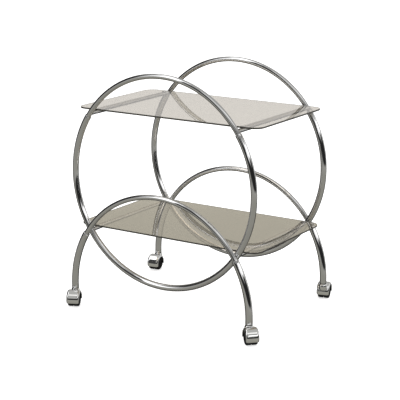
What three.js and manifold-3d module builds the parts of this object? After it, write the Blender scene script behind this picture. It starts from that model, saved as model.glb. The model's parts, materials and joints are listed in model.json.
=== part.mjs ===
// Bar cart on wheels. Two chrome rings stand front and back, two leg arches cross them on the outside,
// crossbars join front to back and carry two smoked-glass shelves, and each leg ends in a swivel caster.
// Millimetres, +Z up, +X along the shelves, front at -Y. The origin is on the floor, under the middle
// of the cart's overall box.
import * as THREE from 'three';
import { mergeVertices } from 'three/addons/utils/BufferGeometryUtils.js';
import Module from 'manifold-3d';

const wasm = await Module();
wasm.setup();

// ---------------------------------------------------------------- driving dimensions
// Overall
const ringRadius = 320; // centreline of the round side frames
const ringSpacing = 423; // between the two ring planes
const ringAboveArch = 358.5; // between the centres of a ring and an arch
const archRadius = 318; // centreline of the leg arches
const legStraight = 13.5; // below the arch's centre, down to the leg's end
const legAboveHood = 2.3; // the leg's end, above the top of its caster's hood

// Tubes
const handleDiameter = 16;
const handleWall = 1.2;
const hoopWall = 1.3;
const archDiameter = 16;
const archWall = 1.2;
const legWall = 2.4;
const crossbarDiameter = 13;
const crossbarWall = 1.2;
const plugLength = 40; // how far a thin tube slides into a thick one
const plugClearance = 0.5; // on the radius, between a plugged tube and its socket
const fitGap = 0.3; // between pieces that touch
const handleSeamDrop = 8; // the handle's seams lie this far below the upper crossbars' centre
const legSeamDrop = 9.5; // the leg seams lie this far below the crossings, along the arch

// Shelves
const glassLength = 648;
const glassDepth = 394;
const glassThickness = 5;
const glassCornerRadius = 34;
const upperGlassAboveRing = 194; // its underside, above the ring's centre
const padDiameter = 10;
const padHeight = 1.8; // between a crossbar's crown and the glass
const padSkirt = 1.8; // how far a pad's rim hangs below the crossbar's crown
const padInset = 14; // pad centre, in from the glass's long edge

// Crossing bolts and their threaded inserts
const boltDiameter = 6;
const boltHeadDiameter = 8.4;
const boltHeadThickness = 3;
const boltChamfer = 0.8;
const boltHeadSeat = 3.8; // head's face, from the arch's centreline
const boltHoleClearance = 0.4; // on the radius
const insertLength = 16;
const insertSetback = 2; // behind the bottom of the crossbar's end saddle

// Casters
const wheelDiameter = 50;
const wheelWidth = 15.5;
const wheelHalfGap = 1.9; // inner face of each wheel, from the caster's middle
const wheelShoulder = 4;
const axleDiameter = 5;
const axleEngagement = 11.6; // length of axle inside each wheel
const runningClearance = 0.4; // on the radius of turning fits
const casterTrail = 22; // swivel axis to wheel axle
const hoodWall = 1.4;
const hoodClearance = 1.3; // between the wheel tread and the hood
const hoodHalfWidth = 20.5;
const hoodShoulder = 7.5;
const hoodFrontLift = 9; // the hood's leading edge stops this far below the axle
const hoodRearLift = 10; // and its trailing edge this far below it
const webThickness = 2.8;
const bossNeckDiameter = 18; // at its top and bottom
const bossDiameter = 27; // where it swells into the hood
const bossShoulder = 9; // from the boss's top down to where it is widest
const bossHeight = 21.9;
const stemDiameter = 8;
const stemSeat = 7; // depth of the stem in the hood's boss
const stemRise = 16; // height of the stem inside the socket
const stemHeadroom = 2; // above the stem, inside the socket
const stemTipChamfer = 1;
const stemGrooveDrop = 5; // from the stem's tip to its snap-ring groove
const stemGrooveWidth = 3;
const stemGrooveDepth = 0.7;
const stemGrooveSlope = 0.5; // height of the groove's sloping sides
const socketFlange = 1.5;
const socketDepth = 20;
const socketWallGap = 0.7; // on the radius, inside the leg tube
const casterTurns = { front_left: 25, front_right: 45, back_left: 8, back_right: 195 }; // degrees

// How round things are
const tubeSides = 12;
const wheelSides = 20;
const bossSides = 16;
const bossStep = THREE.MathUtils.degToRad(30);
const arcStep = THREE.MathUtils.degToRad(7.5);

// ---------------------------------------------------------------- derived places
// Heights build up from the floor: wheel, hood, leg, arch, ring, upper shelf.
const wheelRadius = wheelDiameter / 2;
const hoodInner = wheelRadius + hoodClearance;
const hoodRadius = hoodInner + hoodWall;
const legEndHeight = wheelRadius + hoodRadius + legAboveHood;
const archCentreHeight = legEndHeight + legStraight;
const ringCentreHeight = archCentreHeight + ringAboveArch;
const upperGlassUnderside = ringCentreHeight + upperGlassAboveRing;

const handleRadius = handleDiameter / 2;
const hoopBore = handleRadius + plugClearance;
const hoopRadius = hoopBore + hoopWall;
const archTubeRadius = archDiameter / 2;
const legBore = archTubeRadius + plugClearance;
const legRadius = legBore + legWall;
const crossbarRadius = crossbarDiameter / 2;
const ringY = ringSpacing / 2;
const archY = ringY + hoopRadius + archTubeRadius + fitGap;

// The ring and the arch cross where their centrelines meet, seen from the front.
const centreDrop = ringCentreHeight - archCentreHeight;
const crossingRise = (centreDrop ** 2 + archRadius ** 2 - ringRadius ** 2) / (2 * centreDrop);
const crossingX = Math.sqrt(archRadius ** 2 - crossingRise ** 2);
const crossingZ = archCentreHeight + crossingRise;

const upperBarZ = upperGlassUnderside - padHeight - crossbarRadius;
const upperBarX = Math.sqrt(ringRadius ** 2 - (upperBarZ - ringCentreHeight) ** 2);
const lowerGlassUnderside = crossingZ + crossbarRadius + padHeight;
const handleSeam = Math.asin((upperBarZ - handleSeamDrop - ringCentreHeight) / ringRadius);
const legSeam = Math.asin(crossingRise / archRadius) - legSeamDrop / archRadius;

const socketBottom = legEndHeight - fitGap - socketFlange;
const bossTop = socketBottom - fitGap;
const bossBottom = bossTop - bossHeight;

// ---------------------------------------------------------------- finishes
const chrome = new THREE.MeshStandardMaterial({ color: 0xd8d8d6, roughness: 0.08, metalness: 1 });
const zincSteel = new THREE.MeshStandardMaterial({ color: 0xa9abaa, roughness: 0.35, metalness: 1 });
const smokedGlass = new THREE.MeshStandardMaterial({
  color: 0xb3aa9d, roughness: 0.02, metalness: 0, transparent: true, opacity: 0.4,
});
const blackPlastic = new THREE.MeshStandardMaterial({ color: 0x101012, roughness: 0.4, metalness: 0 });
const clearRubber = new THREE.MeshStandardMaterial({ color: 0x2a2a2a, roughness: 0.6, metalness: 0 });

// ---------------------------------------------------------------- geometry helpers
// A path made of stations. A sweep puts one section at each, square to the tangent given there.
class StationPath extends THREE.Curve {
  constructor(stations) {
    super();
    this.stations = stations;
  }

  station(share) {
    return this.stations[Math.round(share * (this.stations.length - 1))];
  }

  getPoint(share, target = new THREE.Vector3()) {
    return target.copy(this.station(share).point);
  }

  getPointAt(share, target) {
    return this.getPoint(share, target);
  }

  getTangent(share, target = new THREE.Vector3()) {
    return target.copy(this.station(share).tangent);
  }

  getTangentAt(share, target) {
    return this.getTangent(share, target);
  }
}

function sweep(section, stations) {
  return new THREE.ExtrudeGeometry(section, {
    extrudePath: new StationPath(stations), steps: stations.length - 1, curveSegments: 1,
  });
}

function circlePoints(radius, sides) {
  return Array.from({ length: sides }, (_, i) => {
    const angle = (2 * Math.PI * i) / sides;
    return new THREE.Vector2(radius * Math.cos(angle), radius * Math.sin(angle));
  });
}

function roundSection(radius, bore = 0) {
  const section = new THREE.Shape(circlePoints(radius, tubeSides));
  if (bore > 0) section.holes.push(new THREE.Path(circlePoints(bore, tubeSides)));
  return section;
}

function evenly(from, to, largestStep) {
  const count = Math.ceil(Math.abs(to - from) / largestStep);
  return Array.from({ length: count + 1 }, (_, i) => from + ((to - from) * i) / count);
}

// Stations on an upright arc at depth y. Angles run from +X towards +Z.
function uprightArc(centreHeight, radius, y, angles) {
  const way = Math.sign(angles[1] - angles[0]);
  return angles.map((angle) => ({
    point: new THREE.Vector3(radius * Math.cos(angle), y, centreHeight + radius * Math.sin(angle)),
    tangent: new THREE.Vector3(-Math.sin(angle), 0, Math.cos(angle)).multiplyScalar(way),
  }));
}

function alongY(x, z, fromY, toY) {
  return [fromY, toY].map((y) => ({
    point: new THREE.Vector3(x, y, z), tangent: new THREE.Vector3(0, 1, 0),
  }));
}

function cylinderAlongY(radius, x, z, fromY, toY, sides = tubeSides) {
  const geometry = new THREE.CylinderGeometry(radius, radius, toY - fromY, sides);
  return geometry.translate(x, (fromY + toY) / 2, z);
}

function cylinderAlongX(radius, fromX, toX, sides) {
  const geometry = new THREE.CylinderGeometry(radius, radius, toX - fromX, sides);
  return geometry.rotateZ(-Math.PI / 2).translate((fromX + toX) / 2, 0, 0);
}

function cylinderAlongZ(radius, fromZ, toZ, sides) {
  const geometry = new THREE.CylinderGeometry(radius, radius, toZ - fromZ, sides);
  return geometry.rotateX(Math.PI / 2).translate(0, 0, (fromZ + toZ) / 2);
}

// A turned piece about Z, from [radius, height] points that start and end on the axis or close.
function turnedAboutZ(points, sides) {
  const profile = points.map(([radius, height]) => new THREE.Vector2(radius, height));
  return new THREE.LatheGeometry(profile, sides).rotateX(Math.PI / 2);
}

function toSolid(geometry) {
  const bare = geometry.clone();
  bare.deleteAttribute('normal');
  bare.deleteAttribute('uv');
  const merged = mergeVertices(bare, 1e-4);
  return new wasm.Manifold(new wasm.Mesh({
    numProp: 3,
    vertProperties: new Float32Array(merged.attributes.position.array),
    triVerts: new Uint32Array(merged.index.array),
  }));
}

function toGeometry(solid) {
  const mesh = solid.getMesh();
  const geometry = new THREE.BufferGeometry();
  geometry.setAttribute('position', new THREE.BufferAttribute(mesh.vertProperties, 3));
  geometry.setIndex(new THREE.BufferAttribute(mesh.triVerts, 1));
  geometry.computeVertexNormals();
  return geometry;
}

function cut(geometry, ...tools) {
  const solid = tools.reduce((left, tool) => left.subtract(toSolid(tool)), toSolid(geometry));
  return toGeometry(solid);
}

const cart = new THREE.Group();

function addPiece(group, name, geometry, material) {
  const mesh = new THREE.Mesh(geometry, material);
  mesh.name = name;
  group.add(mesh);
  return mesh;
}

// ---------------------------------------------------------------- rings: handle above, hoop below
const handlePlug = plugLength / ringRadius;
const legPlug = plugLength / archRadius;
const boltHoleRadius = boltDiameter / 2 + boltHoleClearance;

function handlePath(y) {
  return uprightArc(ringCentreHeight, ringRadius, y, [
    handleSeam - handlePlug,
    ...evenly(handleSeam, Math.PI - handleSeam, arcStep),
    Math.PI - handleSeam + handlePlug,
  ]);
}

function hoopPath(y) {
  const farSeam = -Math.PI - handleSeam;
  return uprightArc(ringCentreHeight, ringRadius, y, [
    handleSeam,
    ...evenly(handleSeam - handlePlug, farSeam + handlePlug, arcStep),
    farSeam,
  ]);
}

function handleTube(y) {
  return sweep(roundSection(handleRadius, handleRadius - handleWall), handlePath(y));
}

function hoopTube(y) {
  const tube = sweep(roundSection(hoopRadius, hoopBore), hoopPath(y));
  const reach = hoopRadius + fitGap;
  const boltHoles = [-crossingX, crossingX].map(
    (x) => cylinderAlongY(boltHoleRadius, x, crossingZ, y - reach, y + reach),
  );
  return cut(tube, ...boltHoles);
}

// ---------------------------------------------------------------- leg arches and legs
function archTube(y) {
  const angles = [
    legSeam - legPlug, ...evenly(legSeam, Math.PI - legSeam, arcStep), Math.PI - legSeam + legPlug,
  ];
  const tube = sweep(
    roundSection(archTubeRadius, archTubeRadius - archWall),
    uprightArc(archCentreHeight, archRadius, y, angles),
  );
  // Only the wall that faces the ring is drilled.
  const inward = y - Math.sign(y) * (archTubeRadius + fitGap);
  const [low, high] = [Math.min(y, inward), Math.max(y, inward)];
  const boltHoles = [-crossingX, crossingX].map(
    (x) => cylinderAlongY(boltHoleRadius, x, crossingZ, low, high),
  );
  return cut(tube, ...boltHoles);
}

function legTube(side, y) {
  const onSide = (angle) => (side > 0 ? angle : Math.PI - angle);
  const angles = [legSeam, ...evenly(legSeam - legPlug, 0, arcStep)].map(onSide);
  const stations = uprightArc(archCentreHeight, archRadius, y, angles);
  stations.push({
    point: new THREE.Vector3(side * archRadius, y, legEndHeight),
    tangent: new THREE.Vector3(0, 0, -1),
  });
  return sweep(roundSection(legRadius, legBore), stations);
}

// ---------------------------------------------------------------- crossbars, coped to the rings
function crossbarTube(x, z, ringPath, ringTubeRadius) {
  const tube = sweep(
    roundSection(crossbarRadius, crossbarRadius - crossbarWall), alongY(x, z, -ringY, ringY),
  );
  const copes = [-ringY, ringY].map((y) => sweep(roundSection(ringTubeRadius + fitGap), ringPath(y)));
  return cut(tube, ...copes);
}

// ---------------------------------------------------------------- crossing bolts and inserts
// Drawn for the back of the cart, the bolt running along +Y out to the arch; turned for the front.
const insertFace = ringY - hoopRadius - fitGap - insertSetback;
const boltTip = insertFace - insertLength + boltDiameter / 2;

function crossingBolt() {
  const headFace = archY - boltHeadSeat;
  const profile = [
    [0, boltTip],
    [boltDiameter / 2 - boltChamfer, boltTip],
    [boltDiameter / 2, boltTip + boltChamfer],
    [boltDiameter / 2, headFace],
    [boltHeadDiameter / 2, headFace],
    [boltHeadDiameter / 2, headFace + boltHeadThickness],
    [0, headFace + boltHeadThickness],
  ];
  return turnedAboutZ(profile, tubeSides).rotateX(-Math.PI / 2);
}

function crossbarInsert() {
  const radius = crossbarRadius - crossbarWall - runningClearance;
  const body = sweep(roundSection(radius), alongY(0, 0, insertFace - insertLength, insertFace));
  const hole = cylinderAlongY(
    boltHoleRadius, 0, 0, insertFace - insertLength - fitGap, insertFace + fitGap,
  );
  return cut(body, hole);
}

// ---------------------------------------------------------------- glass shelves and their pads
function glassPlate() {
  const x = glassLength / 2 - glassCornerRadius;
  const y = glassDepth / 2 - glassCornerRadius;
  const outline = new THREE.Shape();
  outline.absarc(x, y, glassCornerRadius, 0, Math.PI / 2);
  outline.absarc(-x, y, glassCornerRadius, Math.PI / 2, Math.PI);
  outline.absarc(-x, -y, glassCornerRadius, Math.PI, 1.5 * Math.PI);
  outline.absarc(x, -y, glassCornerRadius, 1.5 * Math.PI, 2 * Math.PI);
  return new THREE.ExtrudeGeometry(outline, {
    depth: glassThickness, bevelEnabled: false, curveSegments: 4,
  });
}

// A pad straddles its crossbar. Its height is measured from the crossbar's axis.
function glassPad() {
  const top = crossbarRadius + padHeight - fitGap;
  const bottom = crossbarRadius - padSkirt;
  const saddle = cylinderAlongY(crossbarRadius + fitGap, 0, 0, -padDiameter, padDiameter);
  return cut(cylinderAlongZ(padDiameter / 2, bottom, top, tubeSides), saddle);
}

for (const [end, way] of [['front', -1], ['back', 1]]) {
  addPiece(cart, `${end}_handle_tube`, handleTube(way * ringY), chrome);
  addPiece(cart, `${end}_hoop_tube`, hoopTube(way * ringY), chrome);
  addPiece(cart, `${end}_arch_tube`, archTube(way * archY), chrome);
}

const sides = [['left', -1], ['right', 1]];
for (const [side, across] of sides) {
  const upperX = across * upperBarX;
  const lowerX = across * crossingX;
  const upperBar = crossbarTube(upperX, upperBarZ, handlePath, handleRadius);
  addPiece(cart, `upper_${side}_crossbar`, upperBar, chrome);
  const lowerBar = crossbarTube(lowerX, crossingZ, hoopPath, hoopRadius);
  addPiece(cart, `lower_${side}_crossbar`, lowerBar, chrome);
  for (const [end, way] of [['front', -1], ['back', 1]]) {
    const corner = `${end}_${side}`;
    const turn = way > 0 ? 0 : Math.PI;
    addPiece(cart, `${corner}_leg_tube`, legTube(across, way * archY), chrome);

    const bolt = addPiece(cart, `${corner}_crossing_bolt`, crossingBolt(), zincSteel);
    bolt.position.set(lowerX, 0, crossingZ);
    bolt.rotation.z = turn;
    const insert = addPiece(cart, `${corner}_crossbar_insert`, crossbarInsert(), zincSteel);
    insert.position.set(lowerX, 0, crossingZ);
    insert.rotation.z = turn;

    const padY = way * (glassDepth / 2 - padInset);
    const upperPad = addPiece(cart, `upper_${corner}_pad`, glassPad(), clearRubber);
    upperPad.position.set(upperX, padY, upperBarZ);
    const lowerPad = addPiece(cart, `lower_${corner}_pad`, glassPad(), clearRubber);
    lowerPad.position.set(lowerX, padY, crossingZ);
  }
}

const upperGlass = addPiece(cart, 'upper_glass', glassPlate(), smokedGlass);
upperGlass.position.z = upperGlassUnderside;
const lowerGlass = addPiece(cart, 'lower_glass', glassPlate(), smokedGlass);
lowerGlass.position.z = lowerGlassUnderside;

// ---------------------------------------------------------------- casters
// Drawn about the swivel axis, standing on the floor, with the wheels trailing towards -Y.
function casterSocket() {
  const bodyRadius = legBore - socketWallGap;
  const bore = stemDiameter / 2 + runningClearance;
  const boreTop = bossTop + stemRise + stemHeadroom;
  return turnedAboutZ([
    [bore, socketBottom],
    [legRadius, socketBottom],
    [legRadius, socketBottom + socketFlange],
    [bodyRadius, socketBottom + socketFlange],
    [bodyRadius, legEndHeight + socketDepth],
    [0, legEndHeight + socketDepth],
    [0, boreTop],
    [bore, boreTop],
    [bore, socketBottom],
  ], tubeSides);
}

function casterStem() {
  const bottom = bossTop - stemSeat + fitGap;
  const top = bossTop + stemRise;
  const radius = stemDiameter / 2;
  const grooveRadius = radius - stemGrooveDepth;
  const grooveTop = top - stemGrooveDrop;
  const grooveBottom = grooveTop - stemGrooveWidth;
  return turnedAboutZ([
    [0, bottom],
    [radius, bottom],
    [radius, grooveBottom],
    [grooveRadius, grooveBottom + stemGrooveSlope],
    [grooveRadius, grooveTop - stemGrooveSlope],
    [radius, grooveTop],
    [radius, top - stemTipChamfer],
    [radius - stemTipChamfer, top],
    [0, top],
  ], tubeSides);
}

// The hood's band: a thin rounded channel, bent round the axle over the top of both wheels.
function hoodBand() {
  const flat = hoodHalfWidth - hoodShoulder;
  const inner = hoodShoulder - hoodWall;
  const channel = new THREE.Shape();
  channel.absarc(-flat, hoodShoulder, hoodShoulder, Math.PI, 1.5 * Math.PI);
  channel.absarc(flat, hoodShoulder, hoodShoulder, 1.5 * Math.PI, 2 * Math.PI);
  channel.absarc(flat, hoodShoulder, inner, 2 * Math.PI, 1.5 * Math.PI, true);
  channel.absarc(-flat, hoodShoulder, inner, 1.5 * Math.PI, Math.PI, true);
  return sweep(channel, hoodAngles.map((angle) => ({
    point: new THREE.Vector3(0, hoodRadius * Math.cos(angle), hoodRadius * Math.sin(angle)),
    tangent: new THREE.Vector3(0, -Math.sin(angle), Math.cos(angle)),
  })));
}

// Angles about the axle, from the leading side (+Y) over the top to the trailing side.
const hoodAngles = evenly(
  -Math.asin(hoodFrontLift / hoodRadius),
  Math.PI + Math.asin(hoodRearLift / hoodRadius),
  THREE.MathUtils.degToRad(20),
);

// The plate between the wheels, which carries the axle.
function hoodWeb() {
  const edge = hoodInner + hoodWall / 2;
  const outline = hoodAngles.map((a) => new THREE.Vector2(edge * Math.cos(a), edge * Math.sin(a)));
  const plate = new THREE.ExtrudeGeometry(new THREE.Shape(outline), {
    depth: webThickness, bevelEnabled: false,
  });
  // The outline's x and y become Y and Z, and its depth runs along X.
  plate.translate(0, 0, -webThickness / 2);
  return plate.applyMatrix4(new THREE.Matrix4().makeBasis(
    new THREE.Vector3(0, 1, 0), new THREE.Vector3(0, 0, 1), new THREE.Vector3(1, 0, 0),
  ));
}

// The boss under the leg, which holds the stem. It swells from its neck like a bead.
function hoodBoss() {
  const neck = bossNeckDiameter / 2;
  const swell = bossDiameter / 2 - neck;
  const widest = bossTop - bossShoulder;
  const shoulder = evenly(Math.PI / 2, 0, bossStep).map((angle) => [
    neck + swell * Math.cos(angle), widest + bossShoulder * Math.sin(angle),
  ]);
  const belly = evenly(0, -Math.PI / 2, bossStep).slice(1).map((angle) => [
    neck + swell * Math.cos(angle), widest + (widest - bossBottom) * Math.sin(angle),
  ]);
  return turnedAboutZ([[0, bossTop], ...shoulder, ...belly, [0, bossBottom]].reverse(), bossSides);
}

function casterHood() {
  const intoPlace = (geometry) => geometry.translate(0, -casterTrail, wheelRadius);
  const wheelSpace = cylinderAlongX(hoodInner + hoodWall / 3, -hoodRadius, hoodRadius, wheelSides);
  const boss = toSolid(hoodBoss()).subtract(toSolid(intoPlace(wheelSpace)));
  const stemHole = cylinderAlongZ(
    stemDiameter / 2 + fitGap, bossTop - stemSeat, bossTop + stemSeat, tubeSides,
  );
  const axleHole = intoPlace(
    cylinderAlongX(axleDiameter / 2 + fitGap, -webThickness, webThickness, tubeSides),
  );
  return toGeometry(
    toSolid(intoPlace(hoodBand()))
      .add(boss)
      .add(toSolid(intoPlace(hoodWeb())))
      .subtract(toSolid(stemHole))
      .subtract(toSolid(axleHole)),
  );
}

function casterAxle() {
  const reach = wheelHalfGap + axleEngagement;
  return cylinderAlongX(axleDiameter / 2, -reach, reach, tubeSides);
}

// A wheel, turned about its axle. Its inner face looks towards -X and its blind bore opens there.
function casterWheel() {
  const inner = wheelHalfGap;
  const outer = wheelHalfGap + wheelWidth;
  const bore = axleDiameter / 2 + runningClearance;
  return turnedAboutZ([
    [0, inner + axleEngagement + runningClearance],
    [bore, inner + axleEngagement + runningClearance],
    [bore, inner],
    [wheelRadius, inner],
    [wheelRadius, outer - wheelShoulder],
    [wheelRadius - wheelShoulder, outer],
    [0, outer],
  ].reverse().map(([radius, along]) => [radius, -along]), wheelSides).rotateY(-Math.PI / 2);
}

for (const [side, across] of sides) {
  for (const [end, way] of [['front', -1], ['back', 1]]) {
    const corner = `${end}_${side}`;
    const caster = new THREE.Group();
    caster.position.set(across * archRadius, way * archY, 0);
    caster.rotation.z = THREE.MathUtils.degToRad(casterTurns[corner]);
    cart.add(caster);

    addPiece(caster, `${corner}_caster_socket`, casterSocket(), blackPlastic);
    addPiece(caster, `${corner}_caster_stem`, casterStem(), zincSteel);
    addPiece(caster, `${corner}_caster_hood`, casterHood(), chrome);
    const axle = addPiece(caster, `${corner}_caster_axle`, casterAxle(), zincSteel);
    axle.position.set(0, -casterTrail, wheelRadius);
    for (const [wheelSide, wheelAcross] of sides) {
      const name = `${corner}_caster_${wheelSide}_wheel`;
      const wheel = addPiece(caster, name, casterWheel(), blackPlastic);
      wheel.position.set(0, -casterTrail, wheelRadius);
      wheel.rotation.z = wheelAcross > 0 ? 0 : Math.PI;
    }
  }
}

// ---------------------------------------------------------------- origin
// The turned casters make the overall box lopsided, so its middle is moved onto the origin.
cart.updateMatrixWorld(true);
const middle = new THREE.Box3().setFromObject(cart, true).getCenter(new THREE.Vector3());
cart.position.set(-Math.round(middle.x), -Math.round(middle.y), 0);

export default cart;
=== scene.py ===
"""The finished look of the bar cart on wheels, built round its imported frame.

Metres, +Z up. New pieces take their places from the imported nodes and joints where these
give them, and from the cart's own driving sizes elsewhere.
"""

import functools
import json
import logging
import math
from dataclasses import dataclass, field
from enum import Enum
from typing import Iterable, Sequence

import bmesh
import bpy
from mathutils import Matrix, Vector

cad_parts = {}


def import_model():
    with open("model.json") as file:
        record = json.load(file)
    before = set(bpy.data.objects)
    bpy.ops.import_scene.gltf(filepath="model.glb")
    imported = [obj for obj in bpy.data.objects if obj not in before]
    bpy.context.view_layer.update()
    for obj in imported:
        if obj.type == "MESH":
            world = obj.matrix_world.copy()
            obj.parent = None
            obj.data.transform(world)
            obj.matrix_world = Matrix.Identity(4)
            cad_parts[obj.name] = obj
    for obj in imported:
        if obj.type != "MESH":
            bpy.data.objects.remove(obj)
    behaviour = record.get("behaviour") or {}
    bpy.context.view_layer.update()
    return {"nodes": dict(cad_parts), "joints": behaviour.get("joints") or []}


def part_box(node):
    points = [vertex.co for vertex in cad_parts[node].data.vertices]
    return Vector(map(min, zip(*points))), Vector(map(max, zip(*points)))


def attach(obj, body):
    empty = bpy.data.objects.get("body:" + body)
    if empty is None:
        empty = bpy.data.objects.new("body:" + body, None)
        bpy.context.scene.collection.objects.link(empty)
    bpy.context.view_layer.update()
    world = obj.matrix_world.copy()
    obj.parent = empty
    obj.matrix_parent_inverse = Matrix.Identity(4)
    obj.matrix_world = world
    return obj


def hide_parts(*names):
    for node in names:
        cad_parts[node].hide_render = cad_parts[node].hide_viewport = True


BMesh, BMVert, BMEdge, BMFace = (
    bmesh.types.BMesh, bmesh.types.BMVert, bmesh.types.BMEdge, bmesh.types.BMFace)
Material, Mesh, Node, NodeTree, Socket = (
    bpy.types.Material, bpy.types.Mesh, bpy.types.Node, bpy.types.NodeTree, bpy.types.NodeSocket)
Colour = tuple[float, float, float, float]

MM = 0.001
QUARTER_TURN = math.pi / 2
HALF_TURN = math.pi
FULL_TURN = 2 * math.pi
FIT_GAP = 0.3 * MM
GLASS_INDEX = 1.52
LOG = logging.getLogger("bar_cart")


class Slot(Enum):
    """The names of the record's material slots."""

    CHROME = "chrome_steel"
    GLASS = "smoked_glass"
    PLASTIC = "black_plastic"
    RUBBER = "clear_rubber"


class Side(Enum):
    """Left or right of the cart, or of a caster."""

    LEFT = "left"
    RIGHT = "right"


class End(Enum):
    """Front or back of the cart, with its direction along Y."""

    FRONT = "front"
    BACK = "back"

    @property
    def way(self) -> int:
        """Minus one at the front, one at the back."""
        return 1 if self is End.BACK else -1


# ---------------------------------------------------------------- shader nodes
class NodeBoard:
    """Adds nodes to one tree and joins them up."""

    def __init__(self, tree: NodeTree) -> None:
        """Works on the given tree."""
        self.tree = tree

    def feed(self, node: Node, inputs: dict) -> None:
        """Sets a node's inputs.

        Args:
            node: The node.
            inputs: Socket name or number to a value, or to the output that feeds it.
        """
        for socket, value in inputs.items():
            if isinstance(value, Socket):
                self.tree.links.new(value, node.inputs[socket])
            else:
                node.inputs[socket].default_value = value

    def add(self, kind: str, inputs: dict | None = None, **settings: object) -> Node:
        """Adds one node.

        Args:
            kind: The node's type name.
            inputs: As for feed.
            **settings: Properties of the node itself.

        Returns:
            The new node.
        """
        node = self.tree.nodes.new(kind)
        for name, value in settings.items():
            setattr(node, name, value)
        self.feed(node, inputs or {})
        return node

    def math(self, operation: str, *values: object, clamp: bool = False) -> Socket:
        """Adds a Math node.

        Args:
            operation: The Math node's operation.
            *values: Numbers or outputs, in socket order.
            clamp: Whether the result is kept between 0 and 1.

        Returns:
            The node's output.
        """
        inputs = dict(enumerate(values))
        return self.add("ShaderNodeMath", inputs, operation=operation, use_clamp=clamp).outputs[0]

    def ramp(self, value: object, low: float, high: float, start: float = 0.0,
             end: float = 1.0) -> Socket:
        """Turns a value smoothly from start to end as it goes from low to high.

        Args:
            value: Number or output to read.
            low: Value that gives start.
            high: Value that gives end.
            start: First result.
            end: Last result.

        Returns:
            The node's output.
        """
        node = self.add("ShaderNodeMapRange", {0: value, 1: low, 2: high, 3: start, 4: end},
                        interpolation_type="SMOOTHSTEP")
        return node.outputs[0]

    def mix_colour(self, share: object, first: object, second: object) -> Socket:
        """Mixes two colours.

        Args:
            share: How much of the second colour.
            first: Colour or output at share 0.
            second: Colour or output at share 1.

        Returns:
            The mixed colour.
        """
        node = self.add("ShaderNodeMix", {0: share, 6: first, 7: second}, data_type="RGBA")
        return node.outputs[2]

    def noise(self, point: Socket, scale: object, detail: float, swirl: float = 0.0) -> Socket:
        """Adds a noise texture.

        Args:
            point: Where it is read.
            scale: Its scale, a number or an output.
            detail: How many finer layers it has.
            swirl: How far it is distorted.

        Returns:
            The noise, from 0 to 1.
        """
        inputs = {"Vector": point, "Scale": scale, "Detail": detail, "Distortion": swirl}
        return self.add("ShaderNodeTexNoise", inputs).outputs[0]

    def split(self, vector: Socket) -> Sequence[Socket]:
        """The three parts of a vector."""
        return self.add("ShaderNodeSeparateXYZ", {0: vector}).outputs

    def join(self, x: Socket, y: Socket, z: Socket) -> Socket:
        """A vector made of three parts."""
        return self.add("ShaderNodeCombineXYZ", {0: x, 1: y, 2: z}).outputs[0]

    def effect(self, tree: NodeTree, **inputs: object) -> Sequence[Socket]:
        """Adds a shared effect's node group, with inputs by name, and gives its outputs."""
        return self.add("ShaderNodeGroup", inputs, node_tree=tree).outputs


def emptied(owner: Material | bpy.types.World) -> NodeBoard:
    """Clears the nodes of a material or world.

    Args:
        owner: The material or world.

    Returns:
        Its empty board.
    """
    owner.use_nodes = True
    owner.node_tree.nodes.clear()
    return NodeBoard(owner.node_tree)


def new_group(name: str, inputs: dict[str, object], outputs: Sequence[str] = ("Mask",),
              kind: str = "NodeSocketFloat") -> tuple:
    """Starts a shader node group that reads a point.

    Args:
        name: The group's name.
        inputs: Name of each further input to its default, a number or a triple for a vector.
        outputs: The outputs' names.
        kind: The outputs' socket type.

    Returns:
        The group's board, the outputs of its input node, and its output node.
    """
    tree = bpy.data.node_groups.new(name, "ShaderNodeTree")
    for label, default in {"Vector": (0, 0, 0), **inputs}.items():
        number = isinstance(default, (int, float))
        socket = tree.interface.new_socket(name=label, in_out="INPUT",
                                           socket_type="NodeSocketFloat" if number else "NodeSocketVector")
        socket.default_value = default
    for label in outputs:
        tree.interface.new_socket(name=label, in_out="OUTPUT", socket_type=kind)
    board = NodeBoard(tree)
    return board, board.add("NodeGroupInput").outputs, board.add("NodeGroupOutput")


@functools.cache
def tube_coordinates() -> NodeTree:
    """Builds the group that unrolls a bent tube.

    Returns:
        A group that turns a point into distance along the bend, distance from its centre, and depth.
    """
    board, given, out = new_group("tube_coordinates", {"Centre": (0, 0, 0)}, ["Vector"], "NodeSocketVector")
    offset = board.add("ShaderNodeVectorMath", {0: given["Vector"], 1: given["Centre"]},
                       operation="SUBTRACT")
    x, y, z = board.split(offset.outputs[0])
    angle = board.math("ARCTAN2", z, x)
    squares = board.math("ADD", board.math("MULTIPLY", x, x), board.math("MULTIPLY", z, z))
    radius = board.math("SQRT", squares)
    board.feed(out, {"Vector": board.join(board.math("MULTIPLY", angle, radius), radius, y)})
    return board.tree


@functools.cache
def polishing_lines() -> NodeTree:
    """Builds the group for fine lines left by lengthwise polishing.

    Returns:
        A group with a height for bump and a mask of the deeper lines.
    """
    board, given, out = new_group("polishing_lines", {"Length": 0.09, "Width": 0.0006}, ["Height", "Mask"])
    along, across, deep = board.split(given["Vector"])
    stretched = board.join(board.math("DIVIDE", along, given["Length"]),
                           board.math("DIVIDE", across, given["Width"]),
                           board.math("DIVIDE", deep, given["Width"]))
    height = board.noise(stretched, 1.0, 2.0)
    board.feed(out, {"Height": height, "Mask": board.ramp(height, 0.58, 0.72)})
    return board.tree


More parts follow.
